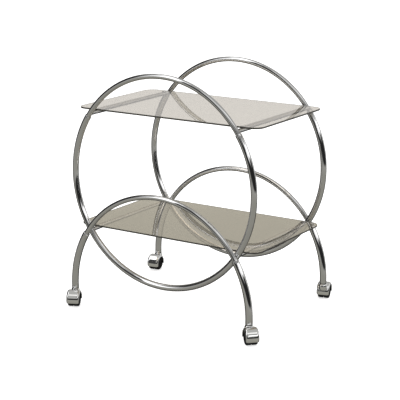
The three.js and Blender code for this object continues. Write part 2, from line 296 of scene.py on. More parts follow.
@functools.cache
def hand_marks() -> NodeTree:
    """Builds the group for the soft blotches that handling leaves on a polished surface.

    Returns:
        A group with a mask, 0 where clean and 1 where most handled.
    """
    board, given, out = new_group("hand_marks", {"Size": 0.04})
    scale = board.math("DIVIDE", 1.0, given["Size"])
    broad = board.noise(given["Vector"], scale, 2.0)
    fine = board.noise(given["Vector"], board.math("MULTIPLY", scale, 6.0), 4.0, swirl=0.6)
    streaks = board.ramp(fine, 0.3, 0.7, 0.4, 1.0)
    board.feed(out, {"Mask": board.math("MULTIPLY", board.ramp(broad, 0.45, 0.68), streaks)})
    return board.tree


@functools.cache
def settled_dust() -> NodeTree:
    """Builds the group for dust that settles on whatever faces up.

    Returns:
        A group with a mask of the dust.
    """
    board, given, out = new_group("settled_dust", {"Amount": 0.2})
    normal = board.add("ShaderNodeNewGeometry").outputs["Normal"]
    facing_up = board.ramp(board.split(normal)[2], 0.35, 1.0)
    specks = board.ramp(board.noise(given["Vector"], 900.0, 3.0), 0.42, 0.66)
    drift = board.ramp(board.noise(given["Vector"], 22.0, 2.0), 0.3, 0.7)
    laid = board.math("MULTIPLY", facing_up, board.math("MULTIPLY", specks, drift))
    board.feed(out, {"Mask": board.math("MULTIPLY", laid, given["Amount"])})
    return board.tree


@functools.cache
def worn_edges() -> NodeTree:
    """Builds the group that finds rubbed corners.

    Returns:
        A group with a mask, 1 on sharp outward edges, broken up by noise.
    """
    board, given, out = new_group("worn_edges", {"Amount": 1.0})
    edge = board.ramp(board.add("ShaderNodeNewGeometry").outputs["Pointiness"], 0.51, 0.58)
    broken = board.ramp(board.noise(given["Vector"], 260.0, 3.0), 0.35, 0.62)
    rubbed = board.math("MULTIPLY", edge, broken)
    board.feed(out, {"Mask": board.math("MULTIPLY", rubbed, given["Amount"])})
    return board.tree


def new_material(name: str) -> tuple:
    """Starts a node material.

    Args:
        name: The material's name.

    Returns:
        The material, its board, its Principled node and the object coordinates.
    """
    material = bpy.data.materials.new(name)
    board = emptied(material)
    shader = board.add("ShaderNodeBsdfPrincipled")
    board.add("ShaderNodeOutputMaterial", {"Surface": shader.outputs[0]})
    return material, board, shader, board.add("ShaderNodeTexCoord").outputs["Object"]


def bumped(board: NodeBoard, height: Socket, strength: float, depth: float) -> Socket:
    """Makes a bumped normal.

    Args:
        board: The material's board.
        height: The height, from 0 to 1.
        strength: The bump's strength.
        depth: How deep the full height is, in metres.

    Returns:
        The normal.
    """
    inputs = {"Strength": strength, "Distance": depth, "Height": height}
    return board.add("ShaderNodeBump", inputs).outputs[0]


# ---------------------------------------------------------------- finishes
@dataclass(frozen=True)
class PolishedChrome:
    """Bright chrome plate over steel, polished lengthwise."""

    name: str
    colour: Colour = (0.80, 0.80, 0.80, 1.0)
    smooth: float = 0.012
    handled: float = 0.05
    dust: float = 0.05
    centre: tuple[float, float, float] | None = None
    mark_size: float = 35 * MM
    mark_shade: float = 0.965
    dust_colour: Colour = (0.42, 0.40, 0.37, 1.0)

    def material(self) -> Material:
        """Builds the plate's material.

        Returns:
            The material. Its polishing lines follow the bend when a centre is given.
        """
        material, board, shader, point = new_material(self.name)
        flow = point
        if self.centre is not None:
            flow = board.effect(tube_coordinates(), Vector=point, Centre=self.centre)[0]
        height, lines = board.effect(polishing_lines(), Vector=flow)
        marks = board.effect(hand_marks(), Vector=point, Size=self.mark_size)[0]
        dust = board.effect(settled_dust(), Vector=point, Amount=self.dust)[0]
        shaded = (*(tone * self.mark_shade for tone in self.colour[:3]), 1.0)
        plate = board.mix_colour(marks, self.colour, shaded)
        rough = board.ramp(marks, 0.0, 1.0, self.smooth, self.handled)
        lined = board.math("ADD", rough, board.math("MULTIPLY", lines, 0.015))
        board.feed(shader, {
            "Base Color": board.mix_colour(dust, plate, self.dust_colour),
            "Roughness": board.math("ADD", lined, board.math("MULTIPLY", dust, 0.5), clamp=True),
            "Metallic": 1.0,
            "Normal": bumped(board, height, 0.06, 0.01 * MM),
        })
        return material


@dataclass(frozen=True)
class SmokedGlass:
    """Grey-brown tinted float glass."""

    name: str = "smoked_glass"
    tint: Colour = (0.86, 0.81, 0.74, 1.0)
    mark_size: float = 110 * MM
    handled: float = 0.028

    def material(self) -> Material:
        """Builds the glass.

        Returns:
            The material, clear through and faintly marked on its faces.
        """
        material, board, shader, point = new_material(self.name)
        marks = board.effect(hand_marks(), Vector=point, Size=self.mark_size)[0]
        board.feed(shader, {
            "Roughness": board.ramp(marks, 0.0, 1.0, 0.0, self.handled),
            "Base Color": self.tint,
            "IOR": GLASS_INDEX,
            "Transmission Weight": 1.0,
        })
        return material


@dataclass(frozen=True)
class GlassEdge:
    """The ground and polished edge of the tinted glass, nearly black along its length."""

    name: str = "smoked_glass_edge"
    colour: Colour = (0.022, 0.020, 0.016, 1.0)
    paler: Colour = (0.045, 0.042, 0.034, 1.0)
    grinding: tuple[float, float, float] = (60.0, 60.0, 2600.0)

    def material(self) -> Material:
        """Builds the edge.

        Returns:
            The material, with fine grinding lines along it.
        """
        material, board, shader, point = new_material(self.name)
        stretched = board.add("ShaderNodeMapping", {"Vector": point, "Scale": self.grinding}).outputs[0]
        grit = board.noise(stretched, 1.0, 3.0)
        board.feed(shader, {
            "Base Color": board.mix_colour(board.ramp(grit, 0.35, 0.7), self.colour, self.paler),
            "Roughness": board.ramp(grit, 0.3, 0.7, 0.10, 0.22),
            "IOR": GLASS_INDEX,
            "Coat Weight": 0.5,
            "Normal": bumped(board, grit, 0.15, 0.02 * MM),
        })
        return material


@dataclass(frozen=True)
class MouldedPlastic:
    """Black nylon with a fine moulded skin."""

    name: str
    colour: Colour = (0.005, 0.005, 0.0055, 1.0)
    rubbed: Colour = (0.020, 0.019, 0.018, 1.0)
    dust_colour: Colour = (0.20, 0.19, 0.17, 1.0)
    smooth: float = 0.46
    clouding: float = 0.14
    dust: float = 0.03
    wear: float = 0.5

    def material(self) -> Material:
        """Builds the plastic.

        Returns:
            The material, paler on rubbed corners and dusty on top.
        """
        material, board, shader, point = new_material(self.name)
        wear = board.effect(worn_edges(), Vector=point, Amount=self.wear)[0]
        dust = board.effect(settled_dust(), Vector=point, Amount=self.dust)[0]
        worn = board.mix_colour(wear, self.colour, self.rubbed)
        cloud, rougher = board.noise(point, 70.0, 3.0), self.smooth + self.clouding
        rough = board.ramp(cloud, 0.3, 0.7, self.smooth, rougher)
        board.feed(shader, {
            "Base Color": board.mix_colour(dust, worn, self.dust_colour),
            "Roughness": board.math("ADD", rough, board.math("MULTIPLY", dust, 0.6), clamp=True),
            "IOR": 1.3,
            "Normal": bumped(board, board.noise(point, 1600.0, 3.0), 0.25, 0.04 * MM),
        })
        return material


@dataclass(frozen=True)
class ZincPlate:
    """Bright zinc plate on small steel hardware."""

    name: str = "zinc_plate"
    colour: Colour = (0.50, 0.51, 0.51, 1.0)
    straw: Colour = (0.52, 0.49, 0.42, 1.0)

    def material(self) -> Material:
        """Builds the plate.

        Returns:
            The material, with a faint blue and straw tone in patches.
        """
        material, board, shader, point = new_material(self.name)
        patch = board.noise(point, 120.0, 3.0)
        board.feed(shader, {
            "Base Color": board.mix_colour(board.ramp(patch, 0.4, 0.65), self.colour, self.straw),
            "Roughness": board.ramp(patch, 0.3, 0.7, 0.24, 0.40),
            "Metallic": 1.0,
            "Normal": bumped(board, board.noise(point, 900.0, 2.0), 0.2, 0.03 * MM),
        })
        return material


@dataclass(frozen=True)
class SoftRubber:
    """Smoky clear rubber of the glass pads."""

    name: str = "pad_rubber"
    colour: Colour = (0.060, 0.058, 0.054, 1.0)
    paler: Colour = (0.095, 0.092, 0.086, 1.0)

    def material(self) -> Material:
        """Builds the rubber.

        Returns:
            The material, soft and slightly mottled.
        """
        material, board, shader, point = new_material(self.name)
        mottle = board.noise(point, 420.0, 3.0)
        board.feed(shader, {
            "Base Color": board.mix_colour(board.ramp(mottle, 0.35, 0.7), self.colour, self.paler),
            "Roughness": board.ramp(mottle, 0.3, 0.7, 0.30, 0.45),
            "IOR": 1.45,
            "Coat Weight": 0.3,
            "Normal": bumped(board, mottle, 0.1, 0.05 * MM),
        })
        return material


# ---------------------------------------------------------------- mesh helpers
def only(kind: type, geometry: Iterable) -> list:
    """The elements of one kind among mixed bmesh elements."""
    return [item for item in geometry if isinstance(item, kind)]


def face_outwards(bm: BMesh) -> None:
    """Turns every face outwards."""
    bmesh.ops.recalc_face_normals(bm, faces=bm.faces[:])


def polyline(bm: BMesh, points: Iterable[Sequence[float]]) -> tuple[list, list]:
    """Draws straight edges from point to point.

    Args:
        bm: The mesh being built.
        points: The points, in order.

    Returns:
        The vertices and the edges.
    """
    verts = [bm.verts.new(point) for point in points]
    return verts, [bm.edges.new(pair) for pair in zip(verts, verts[1:])]


def circle(bm: BMesh, sides: int, radius: float, matrix: Matrix) -> tuple[list, list]:
    """Draws an open circle.

    Args:
        bm: The mesh being built.
        sides: How many straight edges it has.
        radius: Its radius.
        matrix: Where it stands, its axis along Z.

    Returns:
        The vertices and the edges.
    """
    ring = bmesh.ops.create_circle(bm, cap_ends=False, segments=sides, radius=radius,
                                   matrix=matrix)["verts"]
    return ring, list({e for v in ring for e in v.link_edges})


def rod(radius: float, length: float, matrix: Matrix, sides: int = 96) -> BMesh:
    """Builds a plain round rod.

    Args:
        radius: Its radius.
        length: Its length.
        matrix: Where its middle is, its axis along Z.
        sides: How many faces it has round its axis.

    Returns:
        The rod.
    """
    bm = bmesh.new()
    bmesh.ops.create_cone(bm, cap_ends=True, segments=sides, radius1=radius, radius2=radius, depth=length,
                          matrix=matrix)
    return bm


def soften(bm: BMesh, edges: Sequence, size: float, segments: int = 2) -> None:
    """Rounds edges over.

    Args:
        bm: The mesh being built.
        edges: The edges to round.
        size: How far the rounding reaches from each edge.
        segments: How many faces it has.
    """
    bmesh.ops.bevel(bm, geom=list(edges), offset=size, offset_type="OFFSET", segments=segments, profile=0.5,
                    affect="EDGES", material=-1, clamp_overlap=True)


def run_on(bm: BMesh, loop: Sequence) -> list:
    """Extrudes an open loop of edges in place.

    Args:
        bm: The mesh being built.
        loop: The edges to extrude.

    Returns:
        The new loop of edges, still where the old one is.
    """
    grown = bmesh.ops.extrude_edge_only(bm, edges=list(loop))["geom"]
    fresh = set(only(BMVert, grown))
    return [e for e in only(BMEdge, grown) if all(v in fresh for v in e.verts)]


def loop_verts(loop: Sequence) -> list:
    """The vertices of a loop of edges, each once."""
    return list({v for e in loop for v in e.verts})


def turned(outline: Sequence[tuple[float, float]], steps: int) -> BMesh:
    """Turns an outline full round the Z axis.

    Args:
        outline: Radius and height of each corner, from one end of the outline to the other.
        steps: How many faces it has round the axis.

    Returns:
        The solid made.
    """
    bm = bmesh.new()
    corners, edges = polyline(bm, [(radius, 0.0, height) for radius, height in outline])
    bmesh.ops.spin(bm, geom=corners + edges, cent=(0, 0, 0), axis=(0, 0, 1), angle=FULL_TURN, steps=steps,
                   use_merge=True, use_duplicate=False)
    bmesh.ops.remove_doubles(bm, verts=bm.verts[:], dist=0.001 * MM)
    face_outwards(bm)
    return bm


def corner_arc(centre: tuple[float, float], radius: float, start: float, end: float, steps: int) -> list:
    """Points on a small arc of an outline.

    Args:
        centre: The arc's centre.
        radius: Its radius.
        start: First angle, in degrees.
        end: Last angle, in degrees.
        steps: How many straight parts stand for it.

    Returns:
        The points, both ends included.
    """
    angles = [math.radians(start + (end - start) * i / steps) for i in range(steps + 1)]
    return [(centre[0] + radius * math.cos(a), centre[1] + radius * math.sin(a)) for a in angles]


def to_mesh(bm: BMesh, name: str, sharp: float = 38.0) -> Mesh:
    """Turns a bmesh into a smooth-shaded mesh and frees it.

    Args:
        bm: The finished bmesh.
        name: The mesh's name.
        sharp: Edges that turn by more than this many degrees stay crisp.

    Returns:
        The mesh.
    """
    mesh = bpy.data.meshes.new(name)
    bm.to_mesh(mesh)
    bm.free()
    mesh.shade_smooth()
    mesh.set_sharp_from_angle(angle=math.radians(sharp))
    return mesh


def place(mesh: Mesh, materials: Sequence[Material], body: str,
          nodes: Sequence[str]) -> bpy.types.Object:
    """Makes a finished piece of a mesh.

    Args:
        mesh: The piece's mesh, already in its place.
        materials: Its materials, by face material number.
        body: The body it moves with.
        nodes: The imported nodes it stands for.

    Returns:
        The piece's object.
    """
    piece = bpy.data.objects.new(mesh.name, mesh)
    bpy.context.scene.collection.objects.link(piece)
    for material in materials:
        mesh.materials.append(material)
    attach(piece, body)
    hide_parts(*nodes)
    LOG.info("%s: %d faces, rides on %s", piece.name, len(mesh.polygons), body)
    return piece


def combine(base: Mesh, steps: Sequence[tuple[str, Mesh]]) -> Mesh:
    """Joins solids to a base solid, or cuts them out of it.

    Args:
        base: The solid to start from.
        steps: UNION or DIFFERENCE and the other solid, in order.

    Returns:
        The resulting mesh.
    """
    scratch = [bpy.data.objects.new("scratch", mesh) for mesh in (base, *(mesh for _, mesh in steps))]
    for thing in scratch:
        bpy.context.scene.collection.objects.link(thing)
    for (operation, _), tool in zip(steps, scratch[1:]):
        modifier = scratch[0].modifiers.new("join", "BOOLEAN")
        modifier.operation, modifier.object, modifier.solver = operation, tool, "EXACT"
    graph = bpy.context.evaluated_depsgraph_get()
    result = bpy.data.meshes.new_from_object(scratch[0].evaluated_get(graph))
    for thing in scratch:
        mesh = thing.data
        bpy.data.objects.remove(thing)
        bpy.data.meshes.remove(mesh)
    return result


# ---------------------------------------------------------------- bent tubes
@dataclass(frozen=True)
class Bend:
    """Part of an upright circle, from angle start to angle end, and a straight drop after it."""

    centre: Vector
    radius: float
    start: float
    end: float
    drop: float = 0.0
    step: float = math.radians(2.0)

    def start_frame(self) -> Matrix:
        """Works out where the bend starts.

        Returns:
            The place of a circle that stands square to the bend at its start.
        """
        outward = Vector((math.cos(self.start), 0.0, math.sin(self.start)))
        depth = Vector((0.0, 1.0, 0.0))
        turn = Matrix((outward, depth, outward.cross(depth))).transposed().to_4x4()
        return Matrix.Translation(self.centre + outward * self.radius) @ turn

    def steps(self) -> int:
        """How many straight parts stand for the bend."""
        return max(1, math.ceil(abs(self.end - self.start) / self.step))


@dataclass(frozen=True)
class TubeStock:
    """Round tube of one size."""

    radius: float
    wall: float
    lip: float = 0.25 * MM
    sides: int = 48

    def skin(self, bm: BMesh, bend: Bend, radius: float) -> tuple[list, list]:
        """Sweeps one circle along a bend.

        Args:
            bm: The mesh being built.
            bend: The path.
            radius: The circle's radius.

        Returns:
            The loops of edges at its two ends.
        """
        ring, first = circle(bm, self.sides, radius, bend.start_frame())
        swept = bmesh.ops.spin(bm, geom=ring + first, cent=bend.centre, axis=(0, -1, 0),
                               angle=bend.end - bend.start, steps=bend.steps(), use_merge=False,
                               use_duplicate=False)
        last = only(BMEdge, swept["geom_last"])
        if bend.drop > 0:
            last = run_on(bm, last)
            bmesh.ops.translate(bm, verts=loop_verts(last), vec=(0, 0, -bend.drop))
        return first, last

    def along(self, bend: Bend) -> BMesh:
        """Bends a length of the tube.

        Args:
            bend: The path.

        Returns:
            A closed wall with softened ends.
        """
        bm = bmesh.new()
        outside = self.skin(bm, bend, self.radius)
        inside = self.skin(bm, bend, self.radius - self.wall)
        for outer, inner in zip(outside, inside):
            bmesh.ops.bridge_loops(bm, edges=outer + inner)
        face_outwards(bm)
        soften(bm, [e for loop in (*outside, *inside) for e in loop], self.lip)
        return bm


@dataclass
class SideFrames:
    """The two rings and the two leg arches."""

    chrome_ring: Material
    chrome_arch: Material
    centre_x: float
    ring_radius: float = 320 * MM
    ring_height: float = 427 * MM
    ring_depth: float = 211.5 * MM
    arch_radius: float = 318 * MM
    arch_height: float = 68.5 * MM
    arch_depth: float = 229.6 * MM
    leg_end: float = 55 * MM
    seam_height: float = 604.7 * MM
    leg_seam_drop: float = 9.5 * MM
    plug: float = 40 * MM
    handle: TubeStock = TubeStock(8 * MM, 1.2 * MM)
    hoop: TubeStock = TubeStock(9.8 * MM, 1.3 * MM, lip=0.45 * MM)
    arch: TubeStock = TubeStock(8 * MM, 1.2 * MM)
    leg: TubeStock = TubeStock(10.9 * MM, 2.4 * MM, lip=0.7 * MM)

    def ring_seam(self) -> float:
        """The angle at which a hoop ends and its handle begins."""
        return math.asin((self.seam_height - self.ring_height) / self.ring_radius)

    def arch_seam(self) -> float:
        """Works out where an arch ends and its leg begins.

        Returns:
            The angle, a little below where the arch crosses the ring.
        """
        gap = self.ring_height - self.arch_height
        rise = (gap**2 + self.arch_radius**2 - self.ring_radius**2) / (2 * gap)
        return math.asin(rise / self.arch_radius) - self.leg_seam_drop / self.arch_radius

    def build(self) -> None:
        """Builds and dresses every bent tube."""
        seam, slid = self.ring_seam(), self.plug / self.ring_radius
        foot, sunk = self.arch_seam(), self.plug / self.arch_radius
        for end in End:
            ring = Vector((self.centre_x, end.way * self.ring_depth, self.ring_height))
            arch = Vector((self.centre_x, end.way * self.arch_depth, self.arch_height))
            handle = Bend(ring, self.ring_radius, seam - slid, HALF_TURN - seam + slid)
            hoop = Bend(ring, self.ring_radius, HALF_TURN - seam, FULL_TURN + seam)
            top = Bend(arch, self.arch_radius, foot - sunk, HALF_TURN - foot + sunk)
            self.dress(self.handle, handle, f"{end.value}_handle_tube", self.chrome_ring)
            self.dress(self.hoop, hoop, f"{end.value}_hoop_tube", self.chrome_ring)
            self.dress(self.arch, top, f"{end.value}_arch_tube", self.chrome_arch)
            for side in Side:
                start, finish = (foot, 0.0) if side is Side.RIGHT else (HALF_TURN - foot, HALF_TURN)
                leg = Bend(arch, self.arch_radius, start, finish, drop=self.arch_height - self.leg_end)
                self.dress(self.leg, leg, f"{end.value}_{side.value}_leg_tube", self.chrome_arch)

    def dress(self, stock: TubeStock, bend: Bend, node: str, material: Material) -> None:
        """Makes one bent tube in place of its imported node.

        Args:
            stock: The tube it is made of.
            bend: Its path.
            node: The node's name.
            material: Its finish.
        """
        place(to_mesh(stock.along(bend), f"{node}_bent"), [material], "frame", [node])


@dataclass
class Crossbars:
    """The four bars that join the rings, two brazed above and two bolted below."""

    chrome: Material
    frames: SideFrames
    radius: float = 6.5 * MM
    wall: float = 1.2 * MM
    sides: int = 48
    fillet: float = 1.05 * MM
    fillet_steps: int = 5
    sunk: float = 0.05 * MM

    def build(self) -> None:
        """Builds and dresses the four bars."""
        levels = (("upper", self.frames.handle, self.fillet), ("lower", self.frames.hoop, 0.0))
        for level, stock, fillet in levels:
            for side in Side:
                node = f"{level}_{side.value}_crossbar"
                low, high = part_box(node)
                axis = (low + high) / 2
                bm = self.bar(axis, stock.radius, fillet)
                place(to_mesh(bm, f"{node}_tube"), [self.chrome], "frame", [node])

    def bar(self, axis: Vector, ring_tube: float, fillet: float) -> BMesh:
        """Builds one bar with its ends coped to the rings.

        Args:
            axis: The middle of the bar.
            ring_tube: Radius of the ring's tube.
            fillet: Radius of the brazed fillet, or 0 for a bar that is only bolted.

        Returns:
            The bar as a closed wall.
        """
        bm = bmesh.new()
        gap = -self.sunk if fillet else FIT_GAP
        outside = self.skin(bm, axis, self.radius)
        inside = self.skin(bm, axis, self.radius - self.wall)
        for number, way in enumerate((-1, 1)):
            outer, inner = outside[number], inside[number]
            self.cope(outer, axis, ring_tube, way, fillet or gap)
            self.cope(inner, axis, ring_tube, way, gap)
            turns = [math.radians(90 * i / self.fillet_steps) for i in range(self.fillet_steps + 1)]
            for before, turn in zip(turns, turns[1:] if fillet else ()):
                outer = run_on(bm, outer)
                spread = fillet * (1 - math.cos(turn)) - fillet * (1 - math.cos(before))
                self.cope(outer, axis, ring_tube, way, fillet * (1 - math.sin(turn)) + gap, spread)
            bmesh.ops.bridge_loops(bm, edges=outer + inner)
        face_outwards(bm)
        return bm

    def skin(self, bm: BMesh, axis: Vector, radius: float) -> tuple[list, list]:
        """Draws one straight round skin between the ring planes.

        Args:
            bm: The mesh being built.
            axis: The middle of the bar.
            radius: The skin's radius.

        Returns:
            The loops of edges at its front and back.
        """
        depth = self.frames.ring_depth
        facing = Matrix.Translation((axis.x, -depth, axis.z)) @ Matrix.Rotation(-QUARTER_TURN, 4, "X")
        first = circle(bm, self.sides, radius, facing)[1]
        last = run_on(bm, first)
        bmesh.ops.translate(bm, verts=loop_verts(last), vec=(0, 2 * depth, 0))
        return first, last

    def cope(self, loop: Sequence, axis: Vector, ring_tube: float, way: int, gap: float,
             spread: float = 0.0) -> None:
        """Lays a loop against the round of a ring's tube.

        Args:
            loop: The loop's edges.
            axis: The middle of the bar.
            ring_tube: Radius of the ring's tube.
            way: Minus one at the front ring, one at the back ring.
            gap: How far the loop stays off the tube.
            spread: How far the loop is pushed outwards from the bar's axis.
        """
        frames = self.frames
        for vert in loop_verts(loop):
            away = Vector((vert.co.x - axis.x, 0.0, vert.co.z - axis.z))
            vert.co += away.normalized() * spread
            reach = math.hypot(vert.co.x - frames.centre_x, vert.co.z - frames.ring_height)
            bulge = math.sqrt(max(ring_tube**2 - (reach - frames.ring_radius) ** 2, 0.0))
            vert.co.y = way * (frames.ring_depth - bulge - gap)


# ---------------------------------------------------------------- shelves
@dataclass
class Shelves:
    """The two glass plates and the pads they rest on."""

    glass: Material
    edge: Material
    rubber: Material
    corner: float = 34 * MM
    corner_steps: int = 18
    arris: float = 0.7 * MM
    bar_radius: float = Crossbars.radius
    pad_rounding: float = 0.5 * MM
    pad_rings: int = 5
    pad_sides: int = 40

    def build(self) -> None:
        """Builds and dresses the plates and the pads."""
        for level in ("upper", "lower"):
            self.plate(f"{level}_glass")
            for end in End:
                for side in Side:
                    self.pad(f"{level}_{end.value}_{side.value}_pad", f"{level}_{side.value}_crossbar")

    def plate(self, node: str) -> None:
        """Builds one plate, with rounded corners and a narrow polished arris.

        Args:
            node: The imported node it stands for.
        """
        low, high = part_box(node)
        size, middle = high - low, (high + low) / 2
        bm = bmesh.new()
        bmesh.ops.create_grid(bm, x_segments=1, y_segments=1, size=0.5)
        bmesh.ops.scale(bm, verts=bm.verts[:], vec=(size.x, size.y, 1.0))
        bmesh.ops.bevel(bm, geom=bm.verts[:], offset=self.corner, offset_type="OFFSET",
                        segments=self.corner_steps, profile=0.5, affect="VERTICES", material=-1)
        raised = bmesh.ops.extrude_face_region(bm, geom=bm.faces[:])["geom"]
        bmesh.ops.translate(bm, verts=only(BMVert, raised), vec=(0, 0, size.z))
        face_outwards(bm)
        flat = [f for f in bm.faces if abs(f.normal.z) > 0.5]
        soften(bm, {e for f in flat for e in f.edges}, self.arris, 3)
        for face in bm.faces:
            face.material_index = 0 if abs(face.normal.z) > 0.999 else 1
        bmesh.ops.translate(bm, verts=bm.verts[:], vec=(middle.x, middle.y, low.z))
        mesh = to_mesh(bm, f"{node}_plate")
        for face in mesh.polygons:
            face.use_smooth = face.material_index == 1
        place(mesh, [self.glass, self.edge], "frame", [node])

    def pad(self, node: str, bar: str) -> None:
        """Builds one pad, saddled on its bar.

        Args:
            node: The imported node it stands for.
            bar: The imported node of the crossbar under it.
        """
        low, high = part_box(node)
        middle, radius = (low + high) / 2, (high.x - low.x) / 2
        bar_low, bar_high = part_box(bar)
        bar_height = (bar_low.z + bar_high.z) / 2
        bm = bmesh.new()
        bmesh.ops.create_circle(bm, cap_ends=True, segments=self.pad_sides, radius=radius,
                                matrix=Matrix.Translation((middle.x, middle.y, high.z)))
        top = bm.faces[:][0]
        rim = list(top.edges)
        sunk = bmesh.ops.extrude_face_region(bm, geom=[top], use_keep_orig=True)["geom"]
        base = only(BMFace, sunk)[0]
        for _ in range(self.pad_rings - 1):
            bmesh.ops.inset_region(bm, faces=[base], thickness=radius / self.pad_rings)
        for vert in set(bm.verts) - {v for e in rim for v in e.verts}:
            across = vert.co.x - middle.x
            saddle = bar_height + math.sqrt((self.bar_radius + FIT_GAP) ** 2 - across**2)
            vert.co.z = max(saddle, low.z)
        face_outwards(bm)
        soften(bm, rim, self.pad_rounding, 3)
        place(to_mesh(bm, f"{node}_disc"), [self.rubber], "frame", [node])


# ---------------------------------------------------------------- casters
@dataclass
class Caster:
    """One swivel caster: its socket, chrome hood and two wheels.

    It is drawn about its swivel axis, standing on the floor, with the wheels trailing towards -Y.
    """

    corner: str
    joints: dict[str, dict]
    chrome: Material
    plastic: Material
    tread: Material
    trail: float = 22 * MM
    wheel_radius: float = 25 * MM
    wheel_inner: float = 1.9 * MM
    wheel_outer: float = 17.4 * MM
    wheel_shoulder: float = 4 * MM
    tread_depth: float = 1.2 * MM
    bore: float = 2.9 * MM
    bore_depth: float = 12 * MM
    hood_outer: float = 27.7 * MM
    hood_wall: float = 1.4 * MM
    hood_half_width: float = 20.5 * MM
    hood_shoulder: float = 7.5 * MM
    lead_drop: float = 9 * MM
    rear_drop: float = 10 * MM
    web: float = 2.8 * MM
    boss_neck: float = 9 * MM
    boss_radius: float = 13.5 * MM
    boss_shoulder: float = 9 * MM
    boss_bottom: float = 31 * MM
    boss_top: float = 52.9 * MM
    stem_hole: float = 4.3 * MM
    stem_depth: float = 7 * MM
    axle_hole: float = 2.8 * MM
    leg_end: float = SideFrames.leg_end
    flange: float = 10.9 * MM
    flange_rounding: float = 0.5 * MM
    spigot: float = 7.8 * MM
    spigot_rise: float = 20 * MM
    spigot_lead: float = 1 * MM
    socket_bore: float = 4.4 * MM
    socket_bore_rise: float = 18 * MM
    wheel_steps: int = 96
    bush_steps: int = 48
    boss_steps: int = 64
    band_steps: int = 54
    pockets: int = 6
    rib_share: float = 0.16
    pocket_rounding: float = 0.5 * MM
    pocket_depth: float = 0.9 * MM
    frame_matrix: Matrix = field(init=False)

    def __post_init__(self) -> None:
        """Works out where the caster stands and how far it is turned, from its joints."""
        swivel = self.joints[f"{self.corner}_swivel_turn"]
        axle = Vector(self.joints[f"{self.corner}_left_wheel_spin"]["axis"])
        upright = Vector((0.0, 0.0, 1.0))
        turn = Matrix((axle, upright.cross(axle), upright)).transposed().to_4x4()
        self.frame_matrix = Matrix.Translation((swivel["pos_m"][0], swivel["pos_m"][1], 0.0)) @ turn

    def build(self) -> None:
        """Builds and dresses the socket, the hood and the wheels."""
        name = f"{self.corner}_caster"
        place(self.set_down(self.socket(), f"{name}_socket_bush"), [self.plastic], "frame",
              [f"{name}_socket"])
        place(self.hood(f"{name}_hood_shell"), [self.chrome], f"{self.corner}_swivel",
              [f"{name}_hood"])
        for side in Side:
            bm = self.wheel()
            turn = Matrix.Rotation(0.0 if side is Side.RIGHT else HALF_TURN, 4, "Z")
            bmesh.ops.transform(bm, matrix=self.to_axle() @ turn, verts=bm.verts[:])
            place(self.set_down(bm, f"{name}_{side.value}_wheel_moulding"), [self.plastic, self.tread],
                  f"{name}_{side.value}_wheel", [f"{name}_{side.value}_wheel"])

    def to_axle(self) -> Matrix:
        """Moves a shape from the swivel axis on the floor to the axle."""
        return Matrix.Translation((0.0, -self.trail, self.wheel_radius))

    def set_down(self, bm: BMesh, name: str) -> Mesh:
        """Puts a shape in its place under the cart.

        Args:
            bm: The shape, about the swivel axis.
            name: Its mesh's name.

        Returns:
            The mesh.
        """
        bmesh.ops.transform(bm, matrix=self.frame_matrix, verts=bm.verts[:])
        return to_mesh(bm, name)

    def socket(self) -> BMesh:
        """Builds the bush pushed into the leg's end.

        Returns:
            The bush, with its flange against the tube.
        """
        bottom, top = self.boss_top + FIT_GAP, self.leg_end - FIT_GAP
        roof, height = self.boss_top + self.socket_bore_rise, self.leg_end + self.spigot_rise
        round_over, lead = self.flange_rounding, self.spigot_lead
        return turned([
            (0.0, roof), (self.socket_bore, roof), (self.socket_bore, bottom),
            *corner_arc((self.flange - round_over, bottom + round_over), round_over, -90, 0, 4),
            *corner_arc((self.flange - round_over, top - round_over), round_over, 0, 90, 4),
            (self.spigot, top), (self.spigot, height - lead), (self.spigot - lead, height), (0.0, height),
        ], self.bush_steps)

    def wheel(self) -> BMesh:
        """Builds one wheel about its axle, its outer face towards +X.

        Returns:
            The wheel, with its tread as material 1 and shallow pockets moulded in its outer face.
        """
        inner, outer, radius = self.wheel_inner, self.wheel_outer, self.wheel_radius
        shoulder, small = self.wheel_shoulder, 0.8 * MM
        rim, dish, hub, sunk = 20.3 * MM, 18.6 * MM, 7.2 * MM, 1.3 * MM
        floor = outer - sunk
        outline = [
            (0.0, inner + self.bore_depth), (self.bore, inner + self.bore_depth),
            (self.bore, inner),
            (radius - 2.2 * MM, inner),
            *corner_arc((radius - small, inner + small), small, -90, 0, 4),
            *corner_arc((radius - shoulder, outer - shoulder), shoulder, 0, 90, 8),
            (rim, outer), (rim - 0.35 * MM, outer - 0.25 * MM), (dish, floor), (dish - 0.4 * MM, floor),
            (hub + 1.2 * MM, floor), (hub + 0.8 * MM, floor), (hub, outer - 0.3 * MM),
            (hub - 0.4 * MM, outer - 0.1 * MM), (2.4 * MM, outer), (2.2 * MM, outer - 0.5 * MM),
            (0.0, outer - 0.5 * MM),
        ]
        bm = turned(outline, self.wheel_steps)
        self.sink_pockets(bm, dish, hub, floor)
        for face in bm.faces:
            middle = face.calc_center_median()
            if math.hypot(middle.x, middle.y) > radius - self.tread_depth:
                face.material_index = 1
        # The turning axis becomes the axle.
        bmesh.ops.rotate(bm, verts=bm.verts[:], cent=(0, 0, 0),
                         matrix=Matrix.Rotation(QUARTER_TURN, 3, "Y"))
        return bm

